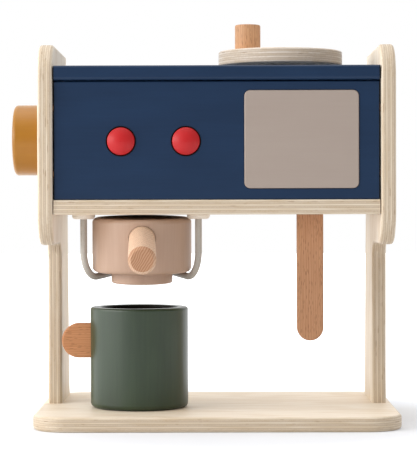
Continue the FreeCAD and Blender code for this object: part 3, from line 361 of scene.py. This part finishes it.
def peeled_birch(tree, grain, layer):
    """The colour of a peeled layer, and its fine streaks. Every layer has a pattern of its own."""
    fine = add(tree, "TexNoise", {"noise_dimensions": "4D", "Detail": 3, "Scale": 1},
               {"Vector": stretched(tree, grain, VESSELS), "W": layer})
    slow = add(tree, "TexNoise", {"noise_dimensions": "4D", "Detail": 1.5, "Scale": 1},
               {"Vector": stretched(tree, grain, FIGURE), "W": layer})
    loops = add(tree, "Math", {"operation": "MULTIPLY", 1: LOOPS}, {0: slow})
    loops = add(tree, "Math", {"operation": "SINE"}, {0: loops})
    loops = add(tree, "MapRange", {"From Min": -0.2, "From Max": 1, "To Max": 0.35},
                {"Value": loops})
    streak = add(tree, "MapRange", {"From Min": 0.4, "From Max": 0.72, "To Max": 0.75},
                 {"Value": fine})
    both = add(tree, "Math", {"operation": "ADD", "use_clamp": True}, {0: streak, 1: loops})
    wood = add(tree, "Mix", {"data_type": "RGBA", "A": linear(BIRCH), "B": linear(BIRCH_STREAK)},
               {"Factor": both})
    return wood, fine


print("the figure's loops are about", FIGURE[0], "by", FIGURE[1], "mm")

# %% [markdown]
# ## The edges of plywood
#
# The saw leaves an edge a little duller than the polished faces. In every second layer it
# cuts straight across the fibres, and cut fibres soak up light, so that layer is browner.
# That alone draws the stripes on every edge, also on rounded corners. Between the layers
# runs a thin line of glue, and here and there a knot or a gap leaves a short dark mark.

# %% Dull edges and brown end grain
BIRCH_EDGE = "#E8E6E1"
BIRCH_END = "#BDA68D"
END_SHARE = 0.5


def sawn_edges(tree, wood, edge, cut, tone):
    """Duller on the board's edges, and browner where the saw cut across the fibres."""
    wood = add(tree, "Mix", {"data_type": "RGBA", "blend_type": "MULTIPLY", "B": linear(tone)},
               {"Factor": edge, "A": wood})
    end_grain = add(tree, "Math", {"operation": "ABSOLUTE"}, {0: cut})
    share = add(tree, "MapRange", {"From Min": 0.3, "From Max": 1, "To Max": END_SHARE},
                {"Value": end_grain})
    return add(tree, "Mix", {"data_type": "RGBA", "B": linear(BIRCH_END)},
               {"Factor": share, "A": wood})


print("end grain takes on", END_SHARE, "of its brown")

# %% Glue lines and knots
GLUE_LINE = 0.3   # about 0.1 mm on a real board, drawn coarser so that it shows
GLUE_SHARE = 0.4
GLUE = "#A88C70"
MARKS = (7, 7, 60)
KNOT = "#96765A"


def glue_and_knots(tree, wood, place, depth, edge):
    """Glue lines between the layers and dark marks beside them, on cut edges only."""
    line_half = 0.5 * GLUE_LINE * MM * LAYERS_PER_METRE
    off_line = add(tree, "Math", {"operation": "PINGPONG", 1: 0.5}, {0: depth})
    glue = add(tree, "MapRange", {"From Min": 2 * line_half, "From Max": line_half,
                                  "To Max": GLUE_SHARE}, {"Value": off_line})
    glue = add(tree, "Math", {"operation": "MULTIPLY"}, {0: glue, 1: edge})
    wood = add(tree, "Mix", {"data_type": "RGBA", "B": linear(GLUE)}, {"Factor": glue, "A": wood})

    nearest = add(tree, "Math", {"operation": "ROUND"}, {0: depth})
    marks = add(tree, "TexNoise", {"noise_dimensions": "4D", "Detail": 0, "Scale": 1},
                {"Vector": stretched(tree, place, MARKS), "W": nearest})
    mark = add(tree, "MapRange", {"From Min": 0.66, "From Max": 0.76, "To Max": 0.6},
               {"Value": marks})
    close = add(tree, "MapRange", {"From Min": 0.3, "From Max": 0.12}, {"Value": off_line})
    mark = add(tree, "Math", {"operation": "MULTIPLY"}, {0: mark, 1: close})
    mark = add(tree, "Math", {"operation": "MULTIPLY"}, {0: mark, 1: edge})
    return add(tree, "Mix", {"data_type": "RGBA", "B": linear(KNOT)}, {"Factor": mark, "A": wood})


print("glue lines are drawn", GLUE_LINE, "mm wide")

# %% [markdown]
# ## Lacquered birch plywood
#
# These steps together make the material of one board. Satin lacquer on peeled birch is pale
# and faintly figured, with a soft wide highlight, and the streaks still raise the lacquer a
# little. Each board has a material of its own, because its layers are counted from its own
# lower face. One material for all boards would put the stripes in the wrong place on most of
# them.

# %% One board's plywood
def birch_plywood(name, board, along, through, edge_tone=BIRCH_EDGE, bloom=0.0):
    """A solid plywood for one board, its layers counted from the board's lower face."""
    material, tree, shader = new_material(name, {"IOR": 1.5, "Specular IOR Level": 0.35,
                                                 "Sheen Weight": bloom, "Sheen Roughness": 0.3})
    place, facing = wood_directions(tree, along, 3 - along - through)
    parts = add(tree, "SeparateXYZ", links={"Vector": place})
    normals = add(tree, "SeparateXYZ", links={"Vector": facing})
    depth, layer, crossed = count_layers(tree, board, through, parts.outputs[2])

    # In a crossed layer, along and across change places.
    swapped = add(tree, "CombineXYZ", links={0: parts.outputs[1], 1: parts.outputs[0],
                                             2: parts.outputs[2]})
    grain = add(tree, "Mix", {"data_type": "VECTOR"}, {"Factor": crossed, "A": place, "B": swapped})
    cut = add(tree, "Mix", links={"Factor": crossed, "A": normals.outputs[0],
                                  "B": normals.outputs[1]})
    faced = add(tree, "Math", {"operation": "ABSOLUTE"}, {0: normals.outputs[2]})
    edge = add(tree, "MapRange", {"From Min": 0.98, "From Max": 0.75}, {"Value": faced})

    wood, fine = peeled_birch(tree, grain, layer)
    wood = sawn_edges(tree, wood, edge, cut, edge_tone)
    wood = glue_and_knots(tree, wood, place, depth, edge)
    feed(tree, wood, shader, "Base Color")
    rough = add(tree, "MapRange", {"To Min": 0.42, "To Max": 0.62}, {"Value": fine})
    feed(tree, rough, shader, "Roughness")
    bump = add(tree, "Bump", {"Strength": 0.25, "Distance": 0.05 * MM}, {"Height": fine})
    feed(tree, bump, shader, "Normal")
    return material


# %% Five boards of plain plywood
# The disc's edge looks paler and silkier than the others, because its polished rim catches
# the light from above: sheen gives part of that, and its paler, greyer edge tone is partly
# its own colour and partly painted light.
finishes = {
    "base_board": birch_plywood("lacquered birch plywood base", "base_board", X, Z),
    "left_side_panel": birch_plywood("lacquered birch plywood left side", "left_side_panel", Z, X),
    "right_side_panel": birch_plywood("lacquered birch plywood right side", "right_side_panel", Z, X),
    "shelf_board": birch_plywood("lacquered birch plywood shelf", "shelf_board", X, Z),
    "grinder_disc": birch_plywood("lacquered birch plywood disc", "grinder_disc", X, Z,
                                  edge_tone="#EEEFF4", bloom=0.7),
}
print("boards of plain plywood:", sorted(finishes))

# %% [markdown]
# ## The rings of beech
#
# The dowels, the wand, the cup's tab and the block that guides the buttons are solid beech.
# Beech is warm and even, with fine growth rings. A dowel is cut from a small part of a wide
# tree, so its rings are nearly flat sheets: lines along its sides, and slanted stripes across
# its ends. Round rings about the dowel's own middle would be simpler, but no real dowel has
# them.

# %% Growth rings and fine fibres
RING = 1.3
FIBRES = (14, 0.6, 0.6)   # real fibres are finer still, and wouldn't show
RING_BENDS = (46, 9, 9)
RING_SLANT = (0, 0.87, -0.5)


def beech_rings(tree, place):
    """A wave that rises and falls once in each growth ring."""
    bend = add(tree, "TexNoise", {"Detail": 2, "Scale": 1},
               {"Vector": stretched(tree, place, RING_BENDS)})
    turns = 2 * math.pi * per_metre(RING)
    sheets = add(tree, "VectorMath",
                 {"operation": "DOT_PRODUCT", 1: [part * turns for part in RING_SLANT]}, {0: place})
    wave = add(tree, "Math", {"operation": "MULTIPLY_ADD", 1: 16},
               {0: bend, 2: sheets.outputs["Value"]})
    return add(tree, "Math", {"operation": "SINE"}, {0: wave})


print("growth rings are", RING, "mm apart")

# %% [markdown]
# ## The rays and the cut ends of beech
#
# Beech is known by its rays, short dark dashes on its sides. They could be strewn one by one.
# A pattern of cells, drawn out to five times their width, gives such dashes with no two
# alike. A cut end has no dashes. It soaks up oil, so it is deeper and redder, and it shows
# the rings as stripes.

# %% Rays on the sides, stripes on the ends
RAYS = (5, 0.9, 0.9)   # about twice as wide as on real beech, so that they show
RAY_DEPTH = 0.62
OILED_PALE = (0.68, 0.54, 0.44, 1)
OILED_DARK = (0.62, 0.44, 0.32, 1)


def beech_rays(tree, wood, place, dark, fleck, side_share):
    """Short dark dashes along the grain, on the sides of the piece only."""
    rays = add(tree, "TexVoronoi", {"Scale": 1, "Randomness": 1},
               {"Vector": stretched(tree, place, RAYS)})
    ray = add(tree, "MapRange", {"From Min": 0.34, "From Max": 0.2, "To Max": fleck},
              {"Value": rays.outputs["Distance"]})
    ray = add(tree, "Math", {"operation": "MULTIPLY"}, {0: ray, 1: side_share})
    shade = [channel * RAY_DEPTH for channel in linear(dark)[:3]] + [1]
    return add(tree, "Mix", {"data_type": "RGBA", "B": shade}, {"Factor": ray, "A": wood})


def beech_ends(tree, wood, rings, light, dark, end_share):
    """Deeper, striped wood on the cut ends."""
    pale_end = [channel * share for channel, share in zip(linear(light), OILED_PALE)]
    dark_end = [channel * share for channel, share in zip(linear(dark), OILED_DARK)]
    stripes = add(tree, "MapRange", {"From Min": -1, "From Max": 1}, {"Value": rings})
    cut = add(tree, "Mix", {"data_type": "RGBA", "A": pale_end, "B": dark_end},
              {"Factor": stripes})
    return add(tree, "Mix", {"data_type": "RGBA"}, {"Factor": end_share, "A": wood, "B": cut})


print("rays are drawn as dashes of", RAYS[0], "by", RAYS[1], "mm")

# %% [markdown]
# ## Oiled beech
#
# Oiled, finely sanded beech is silky, with a weak highlight. Its rings, fibres, rays and ends
# come together here. Beech darkens with steaming and with oil, so one beech for the whole toy
# would be too even, and the two tones are asked for with every piece.

# %% One piece's beech
def beech(name, light, dark, along, across, tilt=0.0, fleck=0.6, end=0.6):
    """Solid beech with its grain along one direction of the piece."""
    material, tree, shader = new_material(name, {"IOR": 1.5, "Specular IOR Level": 0.3})
    place, facing = wood_directions(tree, along, across, tilt)
    normals = add(tree, "SeparateXYZ", links={"Vector": facing})
    ends = add(tree, "Math", {"operation": "ABSOLUTE"}, {0: normals.outputs[0]})
    end_share = add(tree, "MapRange", {"From Min": 0.5, "From Max": 0.8, "To Max": end},
                    {"Value": ends})
    side_share = add(tree, "Math", {"operation": "SUBTRACT", 0: 1}, {1: end_share})

    rings = beech_rings(tree, place)
    ring_share = add(tree, "MapRange", {"From Min": -0.6, "From Max": 1, "To Max": 0.4},
                     {"Value": rings})
    fine = add(tree, "TexNoise", {"Detail": 4, "Scale": 1},
               {"Vector": stretched(tree, place, FIBRES)})
    fine_share = add(tree, "MapRange", {"From Min": 0.35, "From Max": 0.7, "To Max": 0.55},
                     {"Value": fine})
    share = add(tree, "Math", {"operation": "ADD", "use_clamp": True},
                {0: ring_share, 1: fine_share})
    wood = add(tree, "Mix", {"data_type": "RGBA", "A": linear(light), "B": linear(dark)},
               {"Factor": share})
    wood = beech_rays(tree, wood, place, dark, fleck, side_share)
    wood = beech_ends(tree, wood, rings, light, dark, end_share)

    feed(tree, wood, shader, "Base Color")
    rough = add(tree, "MapRange", {"To Min": 0.45, "To Max": 0.65}, {"Value": fine})
    feed(tree, rough, shader, "Roughness")
    bump = add(tree, "Bump", {"Strength": 0.2, "Distance": 0.04 * MM}, {"Height": fine})
    feed(tree, bump, shader, "Normal")
    return material


print("fibres are drawn", FIBRES[0], "by", FIBRES[1], "mm")

# %% Six pieces of bare beech
# Steamed dowel, warm and even.
pale_beech = beech("pale beech dowel", "#D1A27A", "#BC875F", Z, X)
finishes["grinder_knob"] = pale_beech
finishes["panel_dowels"] = pale_beech
# Plain planed beech, hardly oiled, because it is out of sight.
finishes["button_housing"] = beech("beech block", "#DDBB98", "#CBA27C", X, Y)
# A paler dowel that falls forward, with a strongly oiled round end that faces the eye.
HANDLE_FALL = math.radians(7.9)
finishes["portafilter_handle"] = beech("beech handle dowel", "#E4C4A8", "#CBA07F", Y, X,
                                       tilt=HANDLE_FALL, end=0.9)
# Two flat pieces, deeper from more oil.
finishes["wand"] = beech("oiled beech stick", "#C4936E", "#AE7A56", Z, X)
finishes["cup_tab"] = beech("oiled beech tab", "#CA9064", "#B6784D", X, Z)
print("pieces with a finish so far:", len(finishes))

# %% [markdown]
# ## Paint
#
# Nine pieces are painted. Sprayed satin paint hides the wood's colour but not its surface:
# the grain still raises the film a little, and the film itself has a very fine pebbled skin.
# An even colour with a highlight would look like plastic, so the film has two close tones,
# grain under it and pebbles on it.

# %% Sprayed paint on wood
GRAIN_UNDER = (30, 1.5, 1.5)
CLOUDS = (60, 18, 18)
PEBBLE = 0.8   # about 0.4 mm on a real sprayed film, drawn coarser so that it shows


def paint(name, colour, shade, along, across, roughness, gloss, grain=0.5, coat=0.0, bloom=0.0):
    """Paint over wood: two close tones, the grain under the film and a fine pebbled skin."""
    material, tree, shader = new_material(name, {"IOR": 1.5, "Specular IOR Level": gloss,
                                                 "Coat Weight": coat, "Coat Roughness": 0.2,
                                                 "Sheen Weight": bloom, "Sheen Roughness": 0.3,
                                                 "Sheen Tint": linear("#FFF0C0")})
    place = wood_directions(tree, along, across)[0]
    under = add(tree, "TexNoise", {"Detail": 3, "Scale": 1},
                {"Vector": stretched(tree, place, GRAIN_UNDER)})
    cloud = add(tree, "TexNoise", {"Detail": 2, "Scale": 1},
                {"Vector": stretched(tree, place, CLOUDS)})
    mixed = add(tree, "Math", {"operation": "MULTIPLY_ADD", 1: 0.4}, {0: under, 2: cloud})
    share = add(tree, "MapRange", {"From Min": 0.45, "From Max": 0.95}, {"Value": mixed})
    film = add(tree, "Mix", {"data_type": "RGBA", "A": linear(colour), "B": linear(shade)},
               {"Factor": share})
    feed(tree, film, shader, "Base Color")
    rough = add(tree, "MapRange", {"To Min": roughness - 0.06, "To Max": roughness + 0.06},
                {"Value": under})
    feed(tree, rough, shader, "Roughness")
    pebbles = add(tree, "TexNoise", {"Detail": 1, "Scale": 1},
                  {"Vector": stretched(tree, place, (PEBBLE, PEBBLE, PEBBLE))})
    height = add(tree, "Math", {"operation": "MULTIPLY_ADD", 1: 0.4}, {0: pebbles, 2: under})
    bump = add(tree, "Bump", {"Strength": grain, "Distance": 0.05 * MM}, {"Height": height})
    feed(tree, bump, shader, "Normal")
    return material


print("paint pebbles are drawn", PEBBLE, "mm across")

# %% Six painted pieces
# Lacquer on a smooth plate: a faint warm grey that hardly shows any grain.
finishes["screen_plate"] = paint("satin taupe lacquer", "#A7988D", "#A49489", X, Z,
                                 roughness=0.45, gloss=0.5, grain=0.05)
# Red lacquer with a thin clear coat: a soft bright spot on each dome.
red = paint("satin red lacquer", "#C41C1F", "#B8181B", Z, X,
            roughness=0.48, gloss=0.3, grain=0.15, coat=0.1)
finishes["button_left"] = red
finishes["button_right"] = red
# Mustard paint: a yellowish bloom along the rim, where the film is seen at a flat angle.
finishes["dial_knob"] = paint("satin mustard paint", "#A16E20", "#986419", X, Y,
                              roughness=0.36, gloss=0.35, grain=0.3, bloom=0.25)
# Taupe paint on turned wood: warm and skin-like, with a wide soft highlight.
finishes["portafilter_body"] = paint("satin taupe paint on turned wood", "#BB9D87", "#B0907A",
                                     Z, X, roughness=0.45, gloss=0.4)
# Green paint on turned wood: dark, with the clearest highlight of all the paints.
finishes["cup_body"] = paint("satin green paint on turned wood", "#2F3F28", "#243221",
                             Z, X, roughness=0.36, gloss=0.5)
print("pieces with a finish so far:", len(finishes))

# %% [markdown]
# ## The cup's bore
#
# The cup's inside is painted nearly black and dull: painted shade, standing in for the shade
# deep in the bore. A second material on the inner faces would need the faces picked by hand.
# It is simpler to ask how far a point lies from the cup's own axis: what is nearer than the
# rim is inside, or it is the cup's underside, which stands on the base and gets the painted
# shade too.

# %% Paint shade into the bore
CUP_BORE = 24.9   # the bore with its rounded rim
BORE_FADE = 0.8


def painted_colour(material):
    """A paint's tree, its shader, and the colour that the shader has so far."""
    tree = material.node_tree
    shader = next(node for node in tree.nodes if node.type == "BSDF_PRINCIPLED")
    return tree, shader, shader.inputs["Base Color"].links[0].from_socket


def off_axis(tree, place, piece, flatten):
    """How far a point lies from the axis of a round piece, with the axis flattened out."""
    low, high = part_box(piece)
    offset = add(tree, "VectorMath", {"operation": "SUBTRACT", 1: 0.5 * (low + high)}, {0: place})
    flat = add(tree, "VectorMath", {"operation": "MULTIPLY", 1: flatten}, {0: offset})
    return add(tree, "VectorMath", {"operation": "LENGTH"}, {0: flat}).outputs["Value"]


def paint_bore_shade(material, piece, radius, gloss):
    """Painted shade: near black and without gloss inside this radius, in millimetres, about an
    upright axis.
    """
    tree, shader, film = painted_colour(material)
    place = add(tree, "TexCoord").outputs["Object"]
    dark = add(tree, "MapRange", {"From Min": radius * MM, "From Max": (radius - BORE_FADE) * MM},
               {"Value": off_axis(tree, place, piece, (1, 1, 0))})
    film = add(tree, "Mix", {"data_type": "RGBA", "B": linear("#1A1713")},
               {"Factor": dark, "A": film})
    feed(tree, film, shader, "Base Color")
    shine = add(tree, "MapRange", {"To Min": gloss, "To Max": 0.05}, {"Value": dark})
    feed(tree, shine, shader, "Specular IOR Level")


paint_bore_shade(finishes["cup_body"], "cup_body", CUP_BORE, gloss=0.5)
print("the bore is dark inside", CUP_BORE, "mm of the cup's axis")

# %% [markdown]
# ## Navy boards and the painted shadow in their gaps
#
# The front, the lid and the back of the box are painted navy. Where a board meets the sides,
# and round the two drilled holes of the buttons, the narrow gap lies in shade, and the eye
# sees a thin dark line. Such a line could be left to the gap's own shadow, but a gap of half
# a millimetre is less than a pixel here, so that shadow is painted near black onto the edge
# of the paint: a painted shadow.

# %% Paint the navy boards
# The painted shadow round the holes and at the board's ends fades out over these widths.
HOLE_RADIUS = 9.0
RIM_DARK = 0.1   # how far outside the hole the paint is fully dark, and where the dark ends
RIM_ENDS = 0.5
JOINT_DARK = 0.3   # the same, measured from the board's end
JOINT_ENDS = 0.7


def paint_gap_shadow(material, buttons, board):
    """Painted shadow: near black along the drilled holes round these buttons and along the board's
    two ends.
    """
    tree, shader, film = painted_colour(material)
    place = add(tree, "TexCoord").outputs["Object"]
    parts = add(tree, "SeparateXYZ", links={"Vector": place})
    across = add(tree, "Math", {"operation": "ABSOLUTE"}, {0: parts.outputs["X"]})
    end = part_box(board)[1].x
    dark = add(tree, "MapRange", {"From Min": end - JOINT_ENDS * MM,
                                  "From Max": end - JOINT_DARK * MM}, {"Value": across})
    for button in buttons:
        rim = add(tree, "MapRange", {"From Min": (HOLE_RADIUS + RIM_ENDS) * MM,
                                     "From Max": (HOLE_RADIUS + RIM_DARK) * MM},
                  {"Value": off_axis(tree, place, button, (1, 0, 1))})
        dark = add(tree, "Math", {"operation": "MAXIMUM"}, {0: dark, 1: rim})
    painted = add(tree, "Mix", {"data_type": "RGBA", "B": linear("#06080B")},
                  {"Factor": dark, "A": film})
    feed(tree, painted, shader, "Base Color")


# Navy paint: matt and deep, with only a wide faint highlight. Each board has a navy of its
# own, because its ends are its own and only the front panel has drilled holes.
for board in ("front_panel", "top_board", "back_panel"):
    finishes[board] = paint("satin navy paint on " + board, "#1B324F", "#172C47", X, Z,
                            roughness=0.42, gloss=0.2, grain=0.3)
    buttons = ("button_left", "button_right") if board == "front_panel" else ()
    paint_gap_shadow(finishes[board], buttons, board)
print("the rims of the holes are dark up to", RIM_ENDS, "mm outside them")

# %% [markdown]
# ## Metal, powder coat and plastic
#
# The rod, the springs, the screws and the moulded rings have no grain. Their surface comes
# from how they were made: the powder melts into a slightly bumpy skin, zinc plating is
# brushed by tumbling, and a moulded ring has the fine matt texture of its mould. One recipe
# with two close tones in small spots fits them all, so they share one function.

# %% Finishes without grain
def plain_skin(name, colour, shade, size, roughness, metallic=0.0, bump=0.3, gloss=0.4):
    """A skin with two close tones in spots of one size, and bumps of the same size."""
    settings = {"Metallic": metallic}
    if metallic == 0:
        settings.update({"IOR": 1.5, "Specular IOR Level": gloss})
    material, tree, shader = new_material(name, settings)
    coordinates = add(tree, "TexCoord")
    spots = add(tree, "TexNoise", {"Detail": 3, "Scale": per_metre(size)},
                {"Vector": coordinates.outputs["Object"]})
    share = add(tree, "MapRange", {"From Min": 0.35, "From Max": 0.65}, {"Value": spots})
    skin = add(tree, "Mix", {"data_type": "RGBA", "A": linear(colour), "B": linear(shade)},
               {"Factor": share})
    feed(tree, skin, shader, "Base Color")
    rough = add(tree, "MapRange", {"To Min": roughness - 0.07, "To Max": roughness + 0.07},
                {"Value": spots})
    feed(tree, rough, shader, "Roughness")
    dents = add(tree, "Bump", {"Strength": bump, "Distance": 0.04 * MM}, {"Height": spots})
    feed(tree, dents, shader, "Normal")
    return material


print("spots of 0.5 mm repeat", round(per_metre(0.5)), "times in a metre")

# %% The rod, the plastic rings and the springs
# Powder coat: warm grey, with the faint orange peel of melted powder.
finishes["cradle_wire"] = plain_skin("warm grey powder coat", "#BDB6AC", "#B1A99E",
                                     size=0.5, roughness=0.45)
# Moulded plastic: even and a little waxy.
finishes["cradle_collars"] = plain_skin("moulded cream plastic", "#F5EBDD", "#ECE0CF",
                                        size=0.4, roughness=0.4)
white_plastic = plain_skin("moulded white plastic", "#ECEAE5", "#E2E0DB", size=0.4, roughness=0.4)
for ring in ("dial_spacer", "grinder_spacer", "wand_bracket"):
    finishes[ring] = white_plastic
# Zinc plate: bright, slightly cloudy metal. Spring steel is darker under its oil.
zinc = plain_skin("zinc plated steel", "#C9C8C4", "#B4B3AF",
                  size=0.6, roughness=0.32, metallic=1.0, bump=0.15)
springy = plain_skin("oiled spring steel", "#9A9996", "#85847F",
                     size=0.6, roughness=0.3, metallic=1.0, bump=0.15)
finishes["button_left_spring"] = springy
finishes["button_right_spring"] = springy
print(len(finishes), "pieces have a finish, and zinc is left for the screws, nuts and pins")

# %% [markdown]
# ## Dress the pieces
#
# Every piece keeps its CAD shape, and its finish goes into its material slot. What hasn't
# been named so far is a bought metal part, such as a screw, a nut or a pin. Listing them all
# would add nothing, because all of them are zinc plated.

# %% Give every piece its finish
for name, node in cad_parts.items():
    finish = finishes.get(name, zinc)
    for slot in node.material_slots:
        slot.material = finish
print(len(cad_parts), "pieces have", len(set(finishes.values())) + 1, "finishes")

# %% [markdown]
# ## The springs
#
# Behind each button sits a coil spring, and pressing the button shortens it. A coil could be
# drawn again as a curve with fewer millimetres between its turns. The CAD coil is right at
# rest, though; here each spring is only given a mesh of its own.

# %% Each spring gets a mesh of its own
for side in ("left", "right"):
    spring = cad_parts["button_" + side + "_spring"]
    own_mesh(spring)
